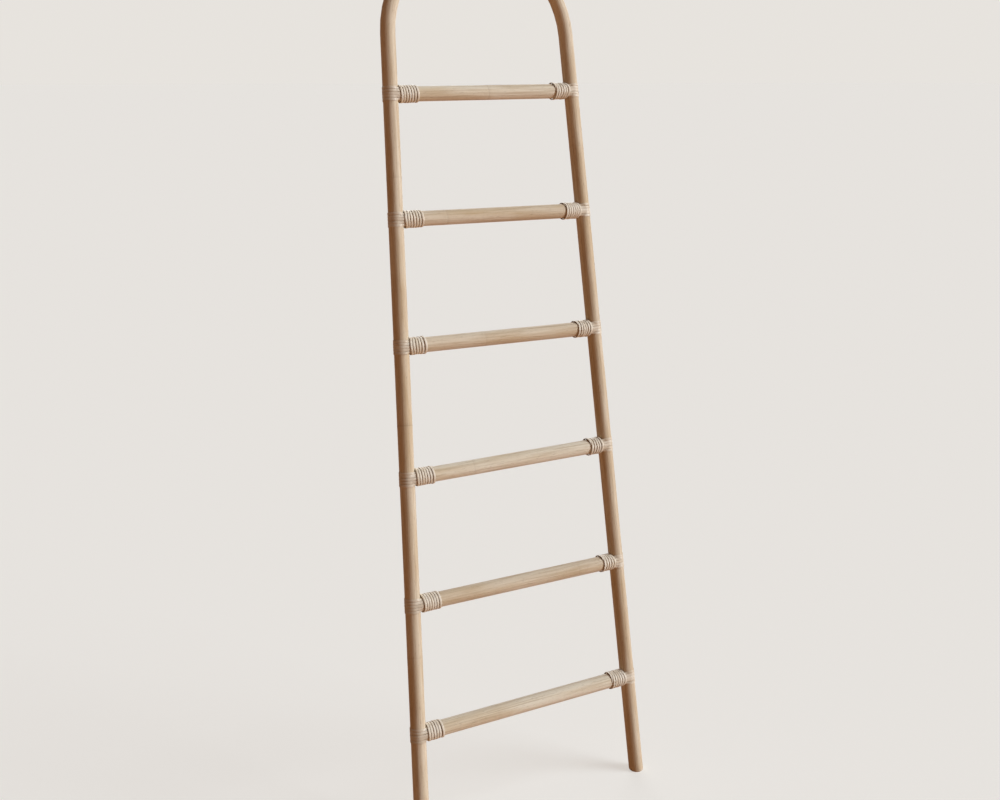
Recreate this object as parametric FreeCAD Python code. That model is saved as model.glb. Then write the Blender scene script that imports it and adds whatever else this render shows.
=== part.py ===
import FreeCAD, Part
import math
import os

from FreeCAD import Placement, Rotation, Vector

# A leaning blanket ladder of round rattan cane. One long cane is bent into an arch, so that its two
# legs are the rails. Rungs butt between them. Each joint is nailed, then bound with rattan peel:
# straps hug the rail and run on along the rung, and a strip wound round the rung ties them down.
# X runs along the rungs, +Y points at the wall, Z is up, and the floor is Z = 0.
# Lengths are in millimetres, and lean is in degrees.

# The bent cane
slope_length = 1780.0      # from the floor to the top of the arch, along the slope
foot_spacing = 501.0       # between the centre lines of the two feet, on the floor
arch_radius = 203.0        # of the arch's centre line
pole_diameter = 30.0
foot_spare = 30.0          # left below the floor line, and sawn off
foot_chamfer = 2.5         # the eased edge of each sawn foot
lean = 8.6                 # from upright, with the sawn feet flat on the floor

# The rungs, evenly spaced between the lowest and the highest
lowest_rung = 201.0        # from the floor to the lowest rung's axis, up the slope
arch_to_highest = 111.0    # from the arch's centre down to the highest rung's axis
rung_diameter = 30.0
cope_gap = 0.2             # between a rung's hollowed end and the rail
# Each rung is set by eye: how far its left and right end lie above the even spacing, lowest rung first.
rung_drift = [(0, 1), (1, 0), (-3, 0), (4, -1), (2, -1), (-3, 2)]

# The flat-wire nail that holds a rung to its rail, driven in from the rail's outer side
nail_width = 1.8           # of the square wire
nail_length = 60.0
nail_head_width = 3.2
nail_head_thickness = 1.2
nail_point = 3.0
nail_sink = 0.6            # from the rail's surface to the top of the head

# The peel: flat towards the cane, with bevelled outer edges
peel_width = 5.4
peel_thickness = 1.0
peel_bevel = 0.7
peel_seat = 0.1            # between a strip and what it lies on
flat_side = 1e-6           # the most that a flat side's corners are out of plane, as a volume in mm3

# The straps round the rail
strap_count = 5
strap_gap = 0.5
strap_flats = 7            # of the bend round the rail
strap_lift = 1.5           # how far from the rail the straps leave the rung

# The strip wound round the rung
wrap_turns = 5.6
wrap_gap = 0.7
wrap_flats = 12            # in a turn
wrap_start = 0.5           # from the rail's surface to the first turn, above and below the rung
wrap_climb = 4.5           # how much nearer the first turn comes at the front and back, over the straps
wrap_cover = 4.0           # how far the turns run on past the ends of the straps

pole_radius = pole_diameter / 2
rung_radius = rung_diameter / 2
foot_reach = foot_spacing / 2
arch_centre = slope_length - pole_radius - arch_radius
rung_pitch = (arch_centre - arch_to_highest - lowest_rung) / (len(rung_drift) - 1)
lean_angle = math.radians(lean)
wrap_pitch = peel_width + wrap_gap
wrap_first = pole_radius + wrap_start
wrap_last = wrap_first + wrap_turns * wrap_pitch + peel_width

# A rail is the tangent from its foot to the arch, so its splay follows from the foot and the arch.
splay = math.acos(arch_radius / math.hypot(foot_reach, arch_centre)) - math.atan2(arch_centre, foot_reach)

SIDES = {"left": -1, "right": 1}
ACROSS = Vector(1, 0, 0)
DEPTH = Vector(0, 1, 0)
UP = Vector(0, 0, 1)


# ---- The ladder's own plane, upright, with the floor line through the origin ----

def rail_point(side, height):
    """The point of a rail's axis at a height up the slope."""
    return Vector(side * (foot_reach - height * math.tan(splay)), 0, height)


def rail_axis(side):
    """The direction of a rail, upwards."""
    return Vector(-side * math.sin(splay), 0, math.cos(splay))


def joint_point(side, level):
    """Where the axes of a rung and a rail meet."""
    drift = rung_drift[level][0 if side < 0 else 1]
    return rail_point(side, lowest_rung + level * rung_pitch + drift)


def frame_at(origin, inward):
    """Axes at a joint: X towards the middle of the ladder, Y towards the wall."""
    return Placement(origin, Rotation(inward, DEPTH, inward.cross(DEPTH), "XYZ"))


def rung_frame(side, level):
    """The axes that follow the rung at a joint."""
    here = joint_point(side, level)
    there = joint_point(-side, level)
    return frame_at(here, (there - here).normalize())


def rail_frame(side, level):
    """The axes that follow the rail at a joint: Z lies along it."""
    return frame_at(joint_point(side, level), DEPTH.cross(rail_axis(side) * -side))


def lean_back(shape):
    """Tip a shape towards the wall, and centre the leaning ladder's depth on the origin."""
    back = (slope_length - pole_radius) * math.sin(lean_angle) + pole_radius
    front = -pole_radius / math.cos(lean_angle)
    leaned = shape.copy()
    leaned.rotate(Vector(), ACROSS, -lean)
    leaned.translate(DEPTH * (-(back + front) / 2))
    return leaned


# ---- Nails ----

def nail(side, level):
    """A headed nail of square wire with a tapered point, driven along the rung's axis."""
    head = Part.makeBox(nail_head_thickness, nail_width, nail_head_width)
    head.translate(Vector(0, -nail_width / 2, -nail_head_width / 2))
    square = [Vector(0, y, z) * (nail_width / 2) for y, z in ((-1, -1), (1, -1), (1, 1), (-1, 1))]
    wire = Part.Face(Part.makePolygon(square + square[:1]))
    shank = wire.extrude(ACROSS * (nail_length - nail_point))
    shoulder = Part.makePolygon(square + square[:1])
    shoulder.translate(ACROSS * (nail_length - nail_point))
    point = Part.makeLoft([shoulder, Part.Vertex(Vector(nail_length, 0, 0))], True, True)
    driven = head.fuse([shank, point]).removeSplitter()
    driven.translate(ACROSS * (nail_sink - pole_radius))
    driven.Placement = rung_frame(side, level).multiply(driven.Placement)
    return driven.Solids[0]


# ---- The cane ----

def bent_pole():
    """The arch and its two legs, from one cane, sawn level at the floor."""
    spring = Vector(arch_radius * math.cos(splay), 0, arch_centre + arch_radius * math.sin(splay))
    crown = Vector(0, 0, arch_centre + arch_radius)
    below = rail_point(SIDES["left"], -foot_spare)
    start = Vector(-spring.x, 0, spring.z)
    path = Part.Wire([
        Part.LineSegment(below, start).toShape(),
        Part.Arc(start, crown, spring).toShape(),
        Part.LineSegment(spring, Vector(-below.x, 0, below.z)).toShape(),
    ])
    outline = Part.Wire(Part.Circle(below, rail_axis(SIDES["left"]), pole_radius).toShape())
    pole = path.makePipeShell([outline], True, False)
    for level in range(len(rung_drift)):
        for side in SIDES.values():
            pole = pole.cut(nail(side, level))
    pole = lean_back(pole)
    room = slope_length + foot_spacing
    above_floor = Part.makeBox(room, room, room, Vector(-room / 2, -room / 2, 0))
    pole = pole.common(above_floor).Solids[0]
    sawn_edges = [edge for edge in pole.Edges if edge.BoundBox.ZMax < foot_chamfer / 2]
    return pole.makeChamfer(foot_chamfer, sawn_edges)


def rung(level):
    """A straight rung, hollowed at both ends to sit against the rails."""
    left = joint_point(SIDES["left"], level)
    right = joint_point(SIDES["right"], level)
    cane = Part.makeCylinder(rung_radius, left.distanceToPoint(right), left, right - left)
    for side in SIDES.values():
        along = rail_axis(side)
        low_end = joint_point(side, level) - along * rung_diameter
        cane = cane.cut(Part.makeCylinder(pole_radius + cope_gap, 2 * rung_diameter, low_end, along))
        cane = cane.cut(nail(side, level))
    return cane.Solids[0]


# ---- The bindings ----

def strip_section(frame, seat, across, outward):
    """The four corners of a peel strip's cross-section, which rests on its seat point."""
    half = peel_width / 2
    top = seat + outward * peel_thickness
    corners = [
        seat - across * half,
        seat + across * half,
        top + across * (half - peel_bevel),
        top - across * (half - peel_bevel),
    ]
    return [frame.multVec(corner) for corner in corners]


def flat_face(corners):
    """A flat face between corners."""
    return Part.Face(Part.makePolygon(corners + corners[:1]))


def strip_side(a, b, c, d):
    """One side of a strip between two cross-sections: flat, or folded on a diagonal where it twists."""
    twist = (b - a).cross(c - a).dot(d - a)
    if abs(twist) < flat_side:
        return [flat_face([a, b, c, d])]
    return [flat_face([a, b, c]), flat_face([a, c, d])]


def peel_strip(sections):
    """A solid strip of peel through its cross-sections."""
    faces = [flat_face(sections[0]), flat_face(sections[-1])]
    for near, far in zip(sections, sections[1:]):
        for i in range(4):
            j = (i + 1) % 4
            faces += strip_side(near[i], near[j], far[j], far[i])
    shell = Part.Shell(faces)
    shell.sewShape()
    strip = Part.Solid(shell)
    if strip.Volume < 0:
        strip.reverse()
    return strip


def strap(side, level, number):
    """One strap: it lies along the back of the rung, bends round the rail, and comes back along the front."""
    on_rail = rail_frame(side, level)
    on_rung = rung_frame(side, level)
    height = (number - (strap_count - 1) / 2) * (peel_width + strap_gap)
    roll = height / (rung_radius + peel_seat + peel_thickness / 2)
    seat = rung_radius + peel_seat
    tail_end = wrap_last - wrap_cover
    depth = seat * math.cos(roll)
    tail_start = math.sqrt(max(0, (pole_radius + peel_seat + strap_lift) ** 2 - depth ** 2))
    reach = math.hypot(tail_start, depth)
    leave = math.atan2(depth, tail_start) + math.acos((pole_radius + peel_seat) / reach)
    step = (2 * math.pi - 2 * leave) / strap_flats
    corner = (pole_radius + peel_seat) / math.cos(step / 2)

    def tail(x, face):
        outward = Vector(0, face * math.cos(roll), math.sin(roll))
        across = Vector(0, -face * math.sin(roll), math.cos(roll))
        return strip_section(on_rung, ACROSS * x + outward * seat, across, outward)

    sections = [tail(tail_end, 1), tail(tail_start, 1)]
    for i in range(strap_flats + 1):
        angle = leave + i * step
        outward = Vector(math.cos(angle), math.sin(angle), 0)
        sections.append(strip_section(on_rail, UP * height + outward * corner, UP, outward))
    sections += [tail(tail_start, -1), tail(tail_end, -1)]
    return peel_strip(sections)


def wrap_sections(side, level):
    """Cross-sections of the strip wound over the straps, from the rail inwards, starting at the back."""
    on_rung = rung_frame(side, level)
    strap_crown = math.hypot(rung_radius + peel_seat + peel_thickness, peel_width / 2 - peel_bevel)
    count = round(wrap_turns * wrap_flats)
    step = 2 * math.pi * wrap_turns / count
    corner = (strap_crown + peel_seat) / math.cos(step / 2)
    sections = []
    for i in range(count + 1):
        angle = -side * i * step
        outward = Vector(0, math.cos(angle), math.sin(angle))
        climb = wrap_climb * math.cos(angle) ** 2 * (1 - i / count)
        x = wrap_first + peel_width / 2 + wrap_pitch * wrap_turns * i / count - climb
        sections.append(strip_section(on_rung, ACROSS * x + outward * corner, ACROSS, outward))
    return sections


def least_gap(sections):
    """The narrowest space between a turn and the next, from the corners that face each other."""
    turn = round(len(sections) / wrap_turns)
    pairs = zip(sections, sections[turn:])
    return min(near[1].distanceToLineSegment(far[0], far[3]).Length for near, far in pairs)


# ---- The nodes ----

nodes = {"bent_pole": bent_pole()}
nails = []
gaps = []
for level in range(len(rung_drift)):
    nodes[f"rung_{level + 1}"] = lean_back(rung(level))
    for name, side in SIDES.items():
        straps = Part.Compound([strap(side, level, number) for number in range(strap_count)])
        turns = wrap_sections(side, level)
        gaps.append(least_gap(turns))
        nails.append(nail(side, level))
        nodes[f"straps_{name}_{level + 1}"] = lean_back(straps)
        nodes[f"wrap_{name}_{level + 1}"] = lean_back(peel_strip(turns))
nodes["rung_nails"] = lean_back(Part.Compound(nails))
print(f"least gap between turns: {min(gaps):.2f} mm")

os.makedirs("parts", exist_ok=True)
for name, shape in nodes.items():
    shape.exportStep(f"parts/{name}.step")
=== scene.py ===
import bmesh
import bpy
import math
import random
from mathutils import Matrix, Vector


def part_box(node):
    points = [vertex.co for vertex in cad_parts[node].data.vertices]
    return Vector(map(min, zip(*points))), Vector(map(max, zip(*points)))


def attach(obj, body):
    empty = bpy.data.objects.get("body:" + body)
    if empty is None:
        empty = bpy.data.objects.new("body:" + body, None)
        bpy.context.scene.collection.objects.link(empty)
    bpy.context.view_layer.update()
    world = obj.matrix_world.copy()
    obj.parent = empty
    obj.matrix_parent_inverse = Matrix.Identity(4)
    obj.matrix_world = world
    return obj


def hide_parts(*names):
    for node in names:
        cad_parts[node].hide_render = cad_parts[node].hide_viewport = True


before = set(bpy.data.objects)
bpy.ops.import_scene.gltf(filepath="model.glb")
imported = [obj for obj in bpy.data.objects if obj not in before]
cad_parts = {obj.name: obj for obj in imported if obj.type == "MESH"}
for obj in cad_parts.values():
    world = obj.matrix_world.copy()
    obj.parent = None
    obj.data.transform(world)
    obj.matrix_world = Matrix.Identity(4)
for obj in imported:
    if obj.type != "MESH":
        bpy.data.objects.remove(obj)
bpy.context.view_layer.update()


# ---- The bent pole ----
# One long rattan cane, steamed and bent into an arch, whose two legs are the rails. Its skin is sanded
# and left bare, so the long fibres and the rings of its growth nodes show.

CANE_RADIUS = 0.015
ARCH_RADIUS = 0.203
FOOT_EASE = 0.0025
CANE_SIDES = 40
CANE_STEP = 0.025
FOOT_SPARE = 2 * CANE_RADIUS  # left below the floor line, and sawn off
# where the growth nodes are along each cane, in metres, and how dark their scars are, from 0 to 1
GROWTH_NODES = {"left": [(0.352, 0.3), (0.803, 1), (1.285, 0.3)],
                "right": [(0.402, 0.3), (0.812, 0.2), (1.335, 0.3)]}
ARCH_NODES = [(0.245, 0.5)]
# the cane around a node: how far from it, how thick as a share, and how much of the scar shows
NODE_SHAPE = ((-0.012, 1, 0), (-0.003, 1.01, 0), (-0.0008, 1.011, 0.2), (0, 0.995, 1),
              (0.0008, 1.006, 0.2), (0.007, 1, 0))
NODE_ROOM = 0.015

ACROSS = Vector((1, 0, 0))
SIDES = {"left": -1, "right": 1}
LEVELS = range(1, 7)


def middle(node):
    """The middle of a solid's box."""
    low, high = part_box(node)
    return (Vector(low) + Vector(high)) / 2


# the ladder's slope, the middle of its foot line, and the run of the cane's centre line from there
UP_SLOPE = (middle("rung_6") - middle("rung_1")).normalized()
UP_SLOPE = Vector((0, UP_SLOPE.y, UP_SLOPE.z)).normalized()
INTO_WALL = UP_SLOPE.cross(ACROSS)
FOOT_LINE = middle("rung_1") - UP_SLOPE * (middle("rung_1").z / UP_SLOPE.z)
FOOT_LINE.x = 0
FOOT_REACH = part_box("bent_pole")[1][0] - CANE_RADIUS
ARCH_CENTRE = (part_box("bent_pole")[1][2] - CANE_RADIUS) / UP_SLOPE.z - ARCH_RADIUS
SPLAY = math.acos(ARCH_RADIUS / math.hypot(FOOT_REACH, ARCH_CENTRE)) - math.atan2(ARCH_CENTRE, FOOT_REACH)


def rail_point(name, height):
    """The point of a rail's centre line at a height up the slope."""
    return FOOT_LINE + UP_SLOPE * height + ACROSS * (SIDES[name] * (FOOT_REACH - height * math.tan(SPLAY)))


def rail_direction(name):
    """The direction of a rail, upwards."""
    return UP_SLOPE * math.cos(SPLAY) - ACROSS * (SIDES[name] * math.sin(SPLAY))


def joint_point(name, level):
    """Where a rung's centre line meets a rail's, at the height of that end of the solid."""
    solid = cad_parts[f"rung_{level}"].data.vertices
    heights = [v.co.z for v in solid if v.co.x * SIDES[name] > 0]
    return rail_point(name, (min(heights) + max(heights)) / 2 / UP_SLOPE.z)


def long_fibres():
    """A shader group: streaks that run with the cane, from its own coordinates."""
    group = bpy.data.node_groups.new("long_fibres", "ShaderNodeTree")
    group.interface.new_socket("Grain", in_out="INPUT", socket_type="NodeSocketVector")
    for name in ("Across", "Along", "Low", "High"):
        group.interface.new_socket(name, in_out="INPUT", socket_type="NodeSocketFloat")
    group.interface.new_socket("Streak", in_out="OUTPUT", socket_type="NodeSocketFloat")
    given = group.nodes.new("NodeGroupInput")
    scale = group.nodes.new("ShaderNodeCombineXYZ")
    drawn = group.nodes.new("ShaderNodeVectorMath")
    drawn.operation = "MULTIPLY"
    noise = group.nodes.new("ShaderNodeTexNoise")
    noise.inputs["Scale"].default_value = 1.0
    noise.inputs["Detail"].default_value = 3.0
    spread = group.nodes.new("ShaderNodeMapRange")
    result = group.nodes.new("NodeGroupOutput")
    link = group.links.new
    link(given.outputs["Across"], scale.inputs["X"])
    link(given.outputs["Across"], scale.inputs["Y"])
    link(given.outputs["Along"], scale.inputs["Z"])
    link(given.outputs["Grain"], drawn.inputs[0])
    link(scale.outputs["Vector"], drawn.inputs[1])
    link(drawn.outputs["Vector"], noise.inputs["Vector"])
    link(noise.outputs["Fac"], spread.inputs["Value"])
    link(given.outputs["Low"], spread.inputs["From Min"])
    link(given.outputs["High"], spread.inputs["From Max"])
    link(spread.outputs["Result"], result.inputs["Streak"])
    return group


FIBRES = long_fibres()


def streaks(material, grain, across, along, low, high):
    """Place the fibre group in a material, and return its mask."""
    node = material.node_tree.nodes.new("ShaderNodeGroup")
    node.node_tree = FIBRES
    material.node_tree.links.new(grain.outputs["Vector"], node.inputs["Grain"])
    for name, value in (("Across", across), ("Along", along), ("Low", low), ("High", high)):
        node.inputs[name].default_value = value
    return node.outputs["Streak"]


def attribute(material, name):
    """A node that reads one of the piece's own attributes."""
    node = material.node_tree.nodes.new("ShaderNodeAttribute")
    node.attribute_name = name
    return node


def tint(material, below, mask, strength, colour):
    """Lay a colour over what is below, as far as the mask and the strength go, and return the result."""
    amount = material.node_tree.nodes.new("ShaderNodeMath")
    amount.operation = "MULTIPLY"
    amount.inputs[1].default_value = strength
    mix = material.node_tree.nodes.new("ShaderNodeMix")
    mix.data_type = "RGBA"
    mix.inputs["B"].default_value = (*colour, 1)
    link = material.node_tree.links.new
    link(mask, amount.inputs[0])
    link(amount.outputs["Value"], mix.inputs["Factor"])
    if isinstance(below, tuple):
        mix.inputs["A"].default_value = (*below, 1)
    else:
        link(below, mix.inputs["A"])
    return mix.outputs["Result"]


def relief(material, height, strength, depth):
    """Raise a material's surface where the mask is high."""
    nodes, link = material.node_tree.nodes, material.node_tree.links.new
    bump = nodes.new("ShaderNodeBump")
    bump.inputs["Strength"].default_value = strength
    bump.inputs["Distance"].default_value = depth
    link(height, bump.inputs["Height"])
    link(bump.outputs["Normal"], nodes["Principled BSDF"].inputs["Normal"])


BAND_BROWN = (0.45, 0.32, 0.18)
FIBRE_CREAM = (0.77, 0.69, 0.55)
PORE_BROWN = (0.25, 0.155, 0.08)
SCAR_BROWN = (0.25, 0.15, 0.075)


def bare_cane(name, clean, patch):
    """Sanded rattan: pale tan with long browner streaks, short dark pores and dark growth rings."""
    material = bpy.data.materials.new(name)
    material.use_nodes = True
    skin = material.node_tree.nodes["Principled BSDF"]
    skin.inputs["Roughness"].default_value = 0.6
    skin.inputs["Specular IOR Level"].default_value = 0.2
    skin.inputs["Sheen Weight"].default_value = 0.25
    grain = attribute(material, "grain")
    patches = streaks(material, grain, across=45, along=6, low=0.40, high=0.62)
    bands = streaks(material, grain, across=300, along=8, low=0.46, high=0.64)
    fine = streaks(material, grain, across=1100, along=22, low=0.40, high=0.70)
    pores = streaks(material, grain, across=1500, along=90, low=0.62, high=0.70)
    scars = attribute(material, "scar_and_edge_shade").outputs["Fac"]
    colour = tint(material, clean, patches, strength=1, colour=patch)
    colour = tint(material, colour, bands, strength=0.55, colour=BAND_BROWN)
    colour = tint(material, colour, fine, strength=0.45, colour=FIBRE_CREAM)
    colour = tint(material, colour, pores, strength=0.55, colour=PORE_BROWN)
    colour = tint(material, colour, scars, strength=0.5, colour=SCAR_BROWN)
    material.node_tree.links.new(colour, skin.inputs["Base Color"])
    relief(material, fine, strength=0.25, depth=0.0004)
    return material


CANE = bare_cane("bare_cane", clean=(0.705, 0.61, 0.465), patch=(0.575, 0.44, 0.27))


def new_piece():
    """An empty mesh under construction, with the attributes that the finishes read."""
    bm = bmesh.new()
    bm.verts.layers.float_vector.new("grain")
    bm.verts.layers.float.new("scar_and_edge_shade")
    return bm


def grow(bm, outline, stations, offset=0.0):
    """Extrude an outline through its stations: each is a placement, the growth there and how dark it is."""
    grain = bm.verts.layers.float_vector["grain"]
    scar_and_edge_shade = bm.verts.layers.float["scar_and_edge_shade"]
    verts, edges = outline
    place, swell, dark = stations[0]
    for v in verts:
        v[grain] = (v.co.x, v.co.y, offset)
        v[scar_and_edge_shade] = dark
    bmesh.ops.transform(bm, matrix=place @ Matrix.Scale(swell, 4), verts=verts)
    rings = [edges]
    length = offset
    for (here, small, _), (there, large, dark) in zip(stations, stations[1:]):
        grown = bmesh.ops.extrude_edge_only(bm, edges=edges)["geom"]
        verts = [g for g in grown if isinstance(g, bmesh.types.BMVert)]
        ring = set(verts)
        edges = [g for g in grown if isinstance(g, bmesh.types.BMEdge) and ring.issuperset(g.verts)]
        move = there @ Matrix.Scale(large / small, 4) @ here.inverted()
        bmesh.ops.transform(bm, matrix=move, verts=verts)
        length += (there.translation - here.translation).length
        for v in verts:
            v[grain] = (v[grain].x, v[grain].y, length)
            v[scar_and_edge_shade] = dark
        rings.append(edges)
    for end in (rings[0], rings[-1]):
        bmesh.ops.edgeloop_fill(bm, edges=end)
        for edge in end:
            edge.smooth = False
    return rings


def ring_marks(nodes, start, end):
    """Places along a cane, with its swelling and dark scar at each growth node."""
    marks = [(node + step, swell, share * dark)
             for node, dark in nodes for step, swell, share in NODE_SHAPE]
    count = round((end - start) / CANE_STEP)
    plain = [start + (end - start) * i / count for i in range(count + 1)]
    clear = [s for s in plain
             if all(abs(s - node) > NODE_ROOM for node, _ in nodes) or s in (start, end)]
    return sorted(marks + [(s, 1, 0) for s in clear])


def round_outline(bm):
    """A cane's round outline, in a mesh that is still empty."""
    made = bmesh.ops.create_circle(bm, cap_ends=False, segments=CANE_SIDES, radius=CANE_RADIUS)["verts"]
    return made, bm.edges[:]


def finish_piece(bm, name, slot, material, *nodes):
    """Turn the mesh into a piece that rides on the ladder and stands for its solids."""
    bmesh.ops.recalc_face_normals(bm, faces=bm.faces)
    mesh = bpy.data.meshes.new(name)
    bm.to_mesh(mesh)
    bm.free()
    mesh.polygons.foreach_set("use_smooth", [True] * len(mesh.polygons))
    mesh.materials.append(material)
    piece = bpy.data.objects.new(name, mesh)
    bpy.context.scene.collection.objects.link(piece)
    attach(piece, "root")
    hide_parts(*nodes)


def placement(origin, along, side):
    """A placement with Z along a cane, and X as near to side as it can be."""
    y = along.cross(side).normalized()
    return Matrix.Translation(origin) @ Matrix((y.cross(along), y, along)).transposed().to_4x4()


def bent_pole():
    """Both legs and the arch, grown from the left foot to the right one."""
    spring = ARCH_CENTRE + ARCH_RADIUS * math.sin(SPLAY)
    stations = []
    for height, swell, dark in ring_marks(GROWTH_NODES["left"], -FOOT_SPARE, spring):
        place = placement(rail_point("left", height), rail_direction("left"), ACROSS)
        stations.append((place, swell, dark))
    turn = (math.pi - 2 * SPLAY) * ARCH_RADIUS
    for way, swell, dark in ring_marks(ARCH_NODES, 0, turn)[1:]:
        angle = way / ARCH_RADIUS + SPLAY
        out = UP_SLOPE * math.sin(angle) - ACROSS * math.cos(angle)
        along = UP_SLOPE * math.cos(angle) + ACROSS * math.sin(angle)
        place = placement(FOOT_LINE + UP_SLOPE * ARCH_CENTRE + out * ARCH_RADIUS, along, -out)
        stations.append((place, swell, dark))
    for height, swell, dark in reversed(ring_marks(GROWTH_NODES["right"], -FOOT_SPARE, spring)[:-1]):
        place = placement(rail_point("right", height), -rail_direction("right"), -ACROSS)
        stations.append((place, swell, dark))
    bm = new_piece()
    grow(bm, round_outline(bm), stations)
    sawn = bmesh.ops.bisect_plane(bm, geom=bm.verts[:] + bm.edges[:] + bm.faces[:], plane_co=(0, 0, 0),
                                  plane_no=(0, 0, -1), clear_outer=True)["geom_cut"]
    soles = [g for g in sawn if isinstance(g, bmesh.types.BMEdge)]
    bmesh.ops.edgeloop_fill(bm, edges=soles)
    bmesh.ops.bevel(bm, geom=soles, offset=FOOT_EASE, affect="EDGES", segments=3, profile=0.5, material=-1)
    finish_piece(bm, "bent_cane_pole", "cane", CANE, "bent_pole")


bent_pole()


# ---- The rungs ----
# Six straight canes of the same stock, three of them paler. Each end is hollowed to sit against its
# rail, where a nail holds it before the joint is bound.

PALE_CANE = bare_cane("pale_bare_cane", clean=(0.79, 0.73, 0.59), patch=(0.67, 0.56, 0.39))
PALE_LEVELS = (1, 3, 6)
# each rung's growth node, as above, measured from the left rail
RUNG_NODES = {1: [(0.170, 0.2)], 2: [(0.372, 0.15)], 3: [(0.141, 0.4)],
              4: [(0.179, 0.3)], 5: [(0.105, 0.4)], 6: [(0.210, 0.6)]}
RUNG_GRAIN_STEP = 3.7  # from one rung's fibres to the next one's, so that no two look alike
COPE_GAP = 0.0002
COPE = CANE_RADIUS + COPE_GAP


def rung(level):
    """A straight cane between the rails."""
    left, right = joint_point("left", level), joint_point("right", level)
    along = (right - left).normalized()
    length = (right - left).length
    stations = [(placement(left + along * s, along, INTO_WALL), swell, dark)
                for s, swell, dark in ring_marks(RUNG_NODES[level], 0, length)]
    bm = new_piece()
    rings = grow(bm, round_outline(bm), stations, offset=level * RUNG_GRAIN_STEP)
    for ring, end, inward in ((rings[0], left, along), (rings[-1], right, -along)):
        for v in {v for edge in ring for v in edge.verts}:
            depth = (v.co - end).dot(INTO_WALL)
            v.co += inward * math.sqrt(COPE ** 2 - depth ** 2)
    skin = PALE_CANE if level in PALE_LEVELS else CANE
    finish_piece(bm, f"cane_rung_{level}", "cane", skin, f"rung_{level}")


for level in LEVELS:
    rung(level)


# ---- The nails ----
# Bright flat-wire nails, driven through each rail into the end of its rung and hidden by the binding.
# The solids are the finished shape, so they only get their steel.

def bright_wire():
    """Drawn steel wire."""
    material = bpy.data.materials.new("bright_wire")
    material.use_nodes = True
    steel = material.node_tree.nodes["Principled BSDF"]
    steel.inputs["Base Color"].default_value = (0.56, 0.56, 0.57, 1)
    steel.inputs["Metallic"].default_value = 1.0
    steel.inputs["Roughness"].default_value = 0.35
    return material


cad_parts["rung_nails"].data.materials.clear()
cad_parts["rung_nails"].data.materials.append(bright_wire())


# ---- The straps ----
# Strips of rattan peel; the left rail's are a darker copy of the right's, as painted shade. Each lies along
# the back of a rung, bends round the rail and comes back along the front. Five cover a joint, and the wound
# strip ties down their ends.

PEEL_WIDTH = 0.0056
PEEL_THICKNESS = 0.0010
PEEL_SEAT = 0.0001
STRAP_COUNT = 5
STRAP_GAP = 0.0002
STRAP_LIFT = 0.0015  # how far from the rail the straps leave the rung
STRAP_TAIL = (0.038, 0.028, 0.018)  # places along a strap's tail, from its end towards the rail
STRAP_BEND_STEPS = 12
STRAP_SHIFT = 0.0003
STRAP_WIDTHS = (0.95, 1.05)
STRAP_THICKNESSES = (0.9, 1.1)
# how dark the painted shade at a strap's edges is, from 0 to 1
STRAP_EDGE = 0.2
STRAP_SHOULDER = 0.5
SEAT = CANE_RADIUS + PEEL_SEAT
PEEL_FIBRE = (0.56, 0.45, 0.31)
# the colour of the painted shade at a strip's edges
EDGE_SHADE_BROWN = (0.27, 0.175, 0.09)
PEEL_LENGTH = 50  # in metres: each strip's fibres begin at a random place along it


def peel(name, clean, patch):
    """The cane's split outer skin: cream, with fine fibres, and painted shade towards its edges."""
    material = bpy.data.materials.new(name)
    material.use_nodes = True
    skin = material.node_tree.nodes["Principled BSDF"]
    skin.inputs["Roughness"].default_value = 0.42
    skin.inputs["Specular IOR Level"].default_value = 0.4
    grain = attribute(material, "grain")
    patches = streaks(material, grain, across=60, along=16, low=0.42, high=0.60)
    fine = streaks(material, grain, across=1300, along=40, low=0.40, high=0.72)
    edges = attribute(material, "scar_and_edge_shade").outputs["Fac"]
    colour = tint(material, clean, patches, strength=0.75, colour=patch)
    colour = tint(material, colour, fine, strength=0.35, colour=PEEL_FIBRE)
    # painted shade towards the strip's edges
    colour = tint(material, colour, edges, strength=1, colour=EDGE_SHADE_BROWN)
    material.node_tree.links.new(colour, skin.inputs["Base Color"])
    relief(material, fine, strength=0.3, depth=0.0003)
    return material


# the left rail's peel is a darker copy of the right rail's: painted shade
STRAP_SKIN = {"left": peel("peel_with_painted_shade", clean=(0.68, 0.61, 0.50), patch=(0.575, 0.485, 0.365)),
              "right": peel("peel", clean=(0.765, 0.70, 0.585), patch=(0.66, 0.56, 0.42))}

# a strip's cross-section, in shares of its width and thickness
FLAT_HALF = 0.47
CROWN_HALF = 0.5
CROWN_STEPS = 8
CROWN_POWER = 0.7
# where across a strip the painted shade at its edges starts, and over how much of its width
EDGE_START = 0.42
EDGE_BLEND = 0.08


def strip_outline(bm, width, thickness, shoulder):
    """A strip's outline: flat below, crowned above its shoulders, which are a share of its thickness."""
    flat = [(-FLAT_HALF, 0), (FLAT_HALF, 0)]
    crown = [(CROWN_HALF * math.cos(a), shoulder + (1 - shoulder) * math.sin(a) ** CROWN_POWER)
             for a in (math.pi * i / CROWN_STEPS for i in range(CROWN_STEPS + 1))]
    verts = [bm.verts.new((x * width, y * thickness, 0)) for x, y in flat + crown]
    return verts, [bm.edges.new(pair) for pair in zip(verts, verts[1:] + verts[:1])]


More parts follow.
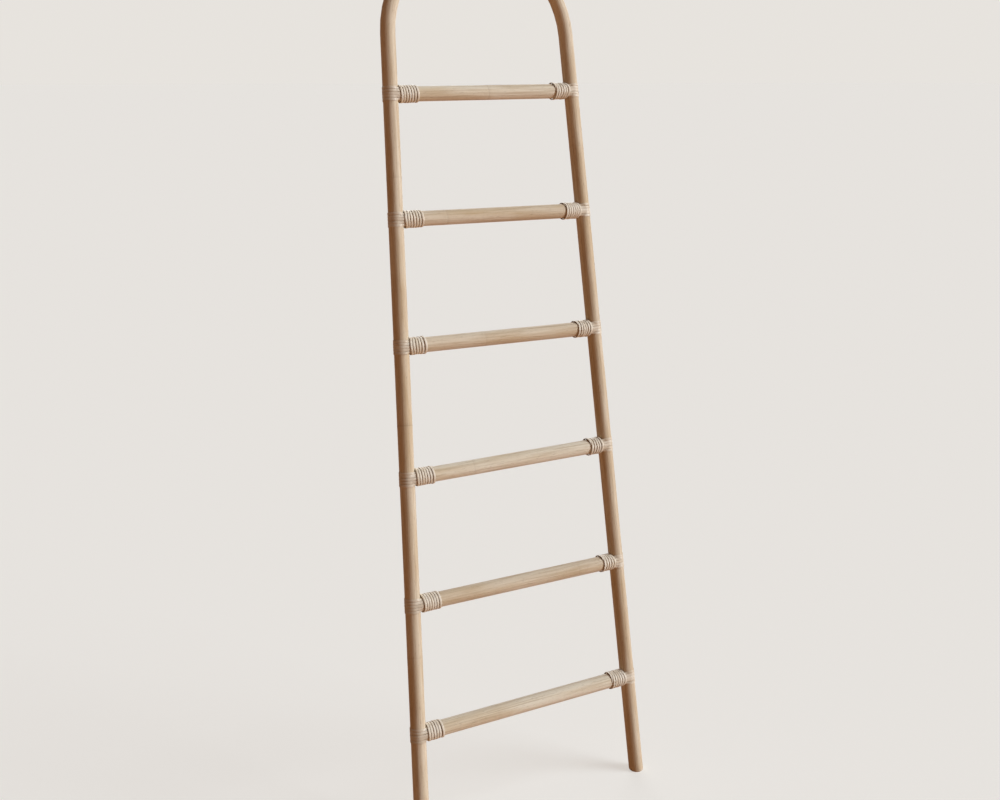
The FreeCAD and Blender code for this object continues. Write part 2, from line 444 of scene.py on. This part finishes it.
def lay_strip(bm, points, normals, width, thickness, shoulder, offset):
    """Grow a strip over points that it rests on, with its crown along the normals."""
    stations = []
    for i, (point, normal) in enumerate(zip(points, normals)):
        along = (points[min(i + 1, len(points) - 1)] - points[max(i - 1, 0)]).normalized()
        side = normal.cross(along).normalized()
        up = along.cross(side)
        turned = Matrix((side, up, along)).transposed().to_4x4()
        stations.append((Matrix.Translation(point) @ turned, 1, 0))
    grow(bm, strip_outline(bm, width, thickness, shoulder), stations, offset)


def darken_edges(bm, width, strength):
    """Paint shade towards a strip's edges, which darkens the lines between neighbouring strips."""
    grain = bm.verts.layers.float_vector["grain"]
    scar_and_edge_shade = bm.verts.layers.float["scar_and_edge_shade"]
    for v in bm.verts:
        v[scar_and_edge_shade] = strength * max(0, (abs(v[grain].x) / width - EDGE_START) / EDGE_BLEND)


def joint_axes(name, level):
    """A joint's point and its directions: inwards along the rung, and up along the rail."""
    other = "right" if name == "left" else "left"
    here, there = joint_point(name, level), joint_point(other, level)
    return here, (there - here).normalized(), rail_direction(name)


def strap(bm, name, level, number, chance):
    """One strap round its rail."""
    joint, inward, up = joint_axes(name, level)
    even = (number - (STRAP_COUNT - 1) / 2) * (PEEL_WIDTH + STRAP_GAP)
    height = even + chance.uniform(-STRAP_SHIFT, STRAP_SHIFT)
    roll = height / (SEAT + PEEL_THICKNESS / 2)
    rung_up = inward.cross(INTO_WALL) * -SIDES[name]
    rail_in = INTO_WALL.cross(up) * -SIDES[name]
    depth = SEAT * math.cos(roll)
    tail_start = math.sqrt((SEAT + STRAP_LIFT) ** 2 - depth ** 2)
    leave = math.atan2(depth, tail_start) + math.acos(SEAT / math.hypot(depth, tail_start))
    points, normals = [], []
    for face in (1, -1):
        normal = INTO_WALL * (face * math.cos(roll)) + rung_up * math.sin(roll)
        tail = [joint + inward * x + normal * SEAT for x in (*STRAP_TAIL, tail_start)]
        bend = []
        for i in range(STRAP_BEND_STEPS + 1):
            a = leave + (math.pi - leave) * i / STRAP_BEND_STEPS
            out = rail_in * math.cos(a) + INTO_WALL * (face * math.sin(a))
            bend.append((joint + up * height + out * SEAT, out))
        half = [(point, normal) for point in tail] + bend
        if face < 0:
            half = half[-2::-1]
        points += [point for point, _ in half]
        normals += [normal for _, normal in half]
    width = PEEL_WIDTH * chance.uniform(*STRAP_WIDTHS)
    thickness = PEEL_THICKNESS * chance.uniform(*STRAP_THICKNESSES)
    lay_strip(bm, points, normals, width, thickness, STRAP_SHOULDER, chance.uniform(0, PEEL_LENGTH))


def straps(name, level):
    """The straps of one joint."""
    bm = new_piece()
    chance = random.Random(f"straps {name} {level}")
    for number in range(STRAP_COUNT):
        strap(bm, name, level, number, chance)
    darken_edges(bm, PEEL_WIDTH, STRAP_EDGE)
    finish_piece(bm, f"peel_straps_{name}_{level}", "peel", STRAP_SKIN[name], f"straps_{name}_{level}")


for level in LEVELS:
    for name in SIDES:
        straps(name, level)


# ---- The wound strips ----
# A long strip of the cleanest peel is wound tightly round the rung, over the straps' ends. On most
# joints its last turn runs wide, comes back and slips under itself, which leaves a notch.

CLEAN_PEEL = peel("clean_peel", clean=(0.83, 0.775, 0.665), patch=(0.73, 0.645, 0.50))
WRAP_WIDTH = 0.0048
WRAP_THICKNESS = 0.0012
# how dark the painted shade at the wound strip's edges is, from 0 to 1
WRAP_EDGE = 0.75
WRAP_SHOULDER = 0.45
WRAP_SEAT = 0.0163  # from the rung's centre line to the strip's underside
WRAP_BACK = 0.0007  # how far behind the rail's face the strip's way along the rung's sides begins
WRAP_START = CANE_RADIUS - WRAP_BACK + WRAP_WIDTH / 2
# a hand's unevenness, along the rung and outwards, and the turns of it kept for after the last full one
WRAP_WANDER = 0.0006
WRAP_PROUD = 0.0004
SPARE_TURNS = 5
FIRST_LIFT = {"left": 0.0009, "right": 0.0004}  # how much higher than the rest a strip starts
# the last turn's run outwards and its lift, in metres, and the powers that shape them
LOOP_REACH = 0.0065
LOOP_LIFT = 0.0014
LOOP_LEAVE = 0.65
LOOP_POINT = 6
# where in its last turn a strip starts to sink under itself, over how much of that turn, and how wide
# the turn has to run for the strip to sink by its whole thickness
TUCK_START = 0.9
TUCK_SPAN = 0.1
FULL_TUCK = 0.5
TAIL = 0.07  # how far the end runs on after that, in turns
TURN_STEPS = 28
# each strip along the front of its rung, in metres from the rail's centre line: where its first turn
# begins, where its last one ends, how many turns lie between them, where it slips under itself, in
# degrees from the front towards the top, and how wide its last turn runs, from 0 to 1
WINDINGS = {("left", 6): (0.0154, 0.0551, 6, 180, 0), ("left", 5): (0.0119, 0.0540, 6, 180, 0.1),
            ("left", 4): (0.0115, 0.0506, 5, 175, 0.8), ("left", 3): (0.0141, 0.0540, 6, 110, 0.4),
            ("left", 2): (0.0180, 0.0550, 6, 180, 0), ("left", 1): (0.0149, 0.0507, 5, 150, 0.5),
            ("right", 6): (0.0108, 0.0454, 5, 15, 0.75), ("right", 5): (0.0119, 0.0480, 6, 60, 0.55),
            ("right", 4): (0.0131, 0.0474, 5, 30, 1), ("right", 3): (0.0130, 0.0435, 4, 20, 0.9),
            ("right", 2): (0.0107, 0.0401, 4, 30, 0.9), ("right", 1): (0.0117, 0.0462, 5, 25, 0.5)}


def uneven(chance, turns, size):
    """A smooth hand-made unevenness: a value for each turn, eased from one to the next."""
    values = [chance.uniform(-size, size) for _ in range(turns + SPARE_TURNS)]

    def at(turn):
        i = int(turn)
        blend = (1 - math.cos(math.pi * (turn - i))) / 2
        return values[i] * (1 - blend) + values[i + 1] * blend

    return at


def run_wide(loop, wide):
    """How far the last turn has run out, as it goes round, from 0 to 1."""
    return wide * loop ** LOOP_LEAVE * (1 - min(loop, 1) ** LOOP_POINT)


def wound_strip(name, level):
    """The strip that ties one joint, from its start at the back to its end."""
    joint, inward, _ = joint_axes(name, level)
    rung_up = inward.cross(INTO_WALL) * -SIDES[name]
    chance = random.Random(f"wrap {name} {level}")
    start, end, full_turns, tuck, wide = WINDINGS[name, level]
    turns = full_turns + (0.5 - tuck / 360) % 1
    last_front = full_turns + 0.5
    run_out = LOOP_REACH * run_wide(last_front - turns, wide)
    pitch = (end - start - WRAP_WIDTH - run_out) / full_turns
    first = start + WRAP_WIDTH / 2
    far = first + pitch * (turns - 0.5)
    apart = uneven(chance, full_turns, WRAP_WANDER)
    proud = uneven(chance, full_turns, WRAP_PROUD)
    points, normals = [], []
    all_turns = turns + 1 + TAIL
    count = round(all_turns * TURN_STEPS)
    for i in range(count + 1):
        turn = all_turns * i / count
        loop = max(turn - turns, 0)
        way = turn - loop * wide
        angle = math.pi - 2 * math.pi * turn
        out = INTO_WALL * -math.cos(angle) + rung_up * math.sin(angle)
        front = first + pitch * (way - 0.5)
        side = WRAP_START + (far - WRAP_START) * min(way / turns, 1) + pitch * max(way - turns, 0)
        run = run_wide(loop, wide)
        x = side + (front - side) * math.cos(angle) ** 2 + apart(turn) * min(turn, 1) + LOOP_REACH * run
        tucked = min(max(loop - TUCK_START, 0) / TUCK_SPAN, 1)
        sink = WRAP_THICKNESS * tucked * min(wide / FULL_TUCK, 1)
        lift = FIRST_LIFT[name] * math.sqrt(max(1 - turn, 0)) + LOOP_LIFT * run
        points.append(joint + inward * x + out * (WRAP_SEAT + proud(turn) + lift - sink))
        normals.append(out)
    bm = new_piece()
    offset = chance.uniform(0, PEEL_LENGTH)
    lay_strip(bm, points, normals, WRAP_WIDTH, WRAP_THICKNESS, WRAP_SHOULDER, offset)
    darken_edges(bm, WRAP_WIDTH, WRAP_EDGE)
    finish_piece(bm, f"wound_strip_{name}_{level}", "peel", CLEAN_PEEL, f"wrap_{name}_{level}")


for level in LEVELS:
    for name in SIDES:
        wound_strip(name, level)


# ---- The studio ----
# A plain pale floor, and two soft lamps to the right of the camera, one low and one high, like a tall
# window. A weaker one stands behind the ladder. The camera is at eye height, to the ladder's left.

PALE = (0.80, 0.77, 0.73)
FLOOR_BOUNCE = (0.68, 0.37, 0.20)
FLOOR_SEEN = (0.385, 0.403, 0.402)
FLOOR_GLOW = 0.70
FLOOR_REACH = 300


def pale_floor():
    """A wide floor. The camera sees it as pale as the background, and it throws warm light upwards."""
    material = bpy.data.materials.new("pale_floor")
    material.use_nodes = True
    nodes, link = material.node_tree.nodes, material.node_tree.links.new
    skin = nodes["Principled BSDF"]
    skin.inputs["Roughness"].default_value = 1.0
    skin.inputs["Specular IOR Level"].default_value = 0.0
    skin.inputs["Emission Color"].default_value = (*PALE, 1)
    path = nodes.new("ShaderNodeLightPath")
    tone = nodes.new("ShaderNodeMix")
    tone.data_type = "RGBA"
    tone.inputs["A"].default_value = (*FLOOR_BOUNCE, 1)
    tone.inputs["B"].default_value = (*FLOOR_SEEN, 1)
    glow = nodes.new("ShaderNodeMath")
    glow.operation = "MULTIPLY"
    glow.inputs[1].default_value = FLOOR_GLOW
    link(path.outputs["Is Camera Ray"], tone.inputs["Factor"])
    link(tone.outputs["Result"], skin.inputs["Base Color"])
    link(path.outputs["Is Camera Ray"], glow.inputs[0])
    link(glow.outputs["Value"], skin.inputs["Emission Strength"])
    bm = bmesh.new()
    bmesh.ops.create_grid(bm, x_segments=1, y_segments=1, size=FLOOR_REACH)
    mesh = bpy.data.meshes.new("floor")
    bm.to_mesh(mesh)
    bm.free()
    mesh.materials.append(material)
    floor = bpy.data.objects.new("floor", mesh)
    bpy.context.scene.collection.objects.link(floor)


pale_floor()

CAMERA_PLACE = Vector((-1.1334, -2.0976, 1.4624))
CAMERA_YAW = 0.49202
CAMERA_PITCH = 0.14196
FOCAL_LENGTH = 43.2
SHIFT_DOWN = 0.15


def camera():
    """The photograph's view: level across, and looking a little down."""
    data = bpy.data.cameras.new("camera")
    data.sensor_width = 36
    data.lens = FOCAL_LENGTH
    data.shift_y = -SHIFT_DOWN
    data.clip_start = 0.05
    data.clip_end = 2 * FLOOR_REACH
    eye = bpy.data.objects.new("camera", data)
    eye.location = CAMERA_PLACE
    eye.rotation_euler = (math.pi / 2 - CAMERA_PITCH, 0, -CAMERA_YAW)
    bpy.context.scene.collection.objects.link(eye)
    bpy.context.scene.camera = eye


camera()

LADDER_MIDDLE = Vector((0, 0, 0.9))
LAMP_DISTANCE = 3
WINDOW_LIGHT = (0.97, 1.02, 1.06)
BACK_LIGHT = (1.0, 0.97, 0.93)


def soft_lamp(name, bearing, rise, spread, power, colour):
    """A soft even light. Its bearing is from the camera towards the right, and its rise from the floor."""
    data = bpy.data.lights.new(name, "SUN")
    data.angle = math.radians(spread)
    data.energy = power
    data.color = colour
    heading = CAMERA_YAW - math.radians(bearing)
    level = Vector((-math.sin(heading), -math.cos(heading), 0))
    towards = level * math.cos(math.radians(rise)) + Vector((0, 0, math.sin(math.radians(rise))))
    lamp = bpy.data.objects.new(name, data)
    lamp.location = LADDER_MIDDLE + towards * LAMP_DISTANCE
    lamp.rotation_euler = (-towards).to_track_quat("-Z", "Y").to_euler()
    bpy.context.scene.collection.objects.link(lamp)


soft_lamp("key_lamp", bearing=83, rise=8, spread=22, power=2.4, colour=WINDOW_LIGHT)
soft_lamp("high_lamp", bearing=83, rise=45, spread=30, power=1.2, colour=WINDOW_LIGHT)
soft_lamp("back_lamp", bearing=180, rise=28, spread=40, power=0.8, colour=BACK_LIGHT)

FAINT_GLOW = (1.0, 0.51, 0.30)
FAINT_STRENGTH = 0.12


def pale_world():
    """A pale background, which lights the ladder only faintly, and warmly."""
    world = bpy.data.worlds.new("studio")
    bpy.context.scene.world = world
    world.use_nodes = True
    nodes, link = world.node_tree.nodes, world.node_tree.links.new
    nodes.clear()
    path = nodes.new("ShaderNodeLightPath")
    seen = nodes.new("ShaderNodeMath")
    seen.operation = "MAXIMUM"
    sky = nodes.new("ShaderNodeMath")
    sky.operation = "MAXIMUM"
    dim = nodes.new("ShaderNodeBackground")
    dim.inputs["Color"].default_value = (*FAINT_GLOW, 1)
    dim.inputs["Strength"].default_value = FAINT_STRENGTH
    pale = nodes.new("ShaderNodeBackground")
    pale.inputs["Color"].default_value = (*PALE, 1)
    mix = nodes.new("ShaderNodeMixShader")
    result = nodes.new("ShaderNodeOutputWorld")
    link(path.outputs["Is Camera Ray"], seen.inputs[0])
    link(path.outputs["Is Glossy Ray"], seen.inputs[1])
    link(seen.outputs["Value"], sky.inputs[0])
    link(path.outputs["Is Transmission Ray"], sky.inputs[1])
    link(sky.outputs["Value"], mix.inputs["Fac"])
    link(dim.outputs["Background"], mix.inputs[1])
    link(pale.outputs["Background"], mix.inputs[2])
    link(mix.outputs["Shader"], result.inputs["Surface"])


pale_world()
bpy.context.scene.view_settings.view_transform = "Standard"
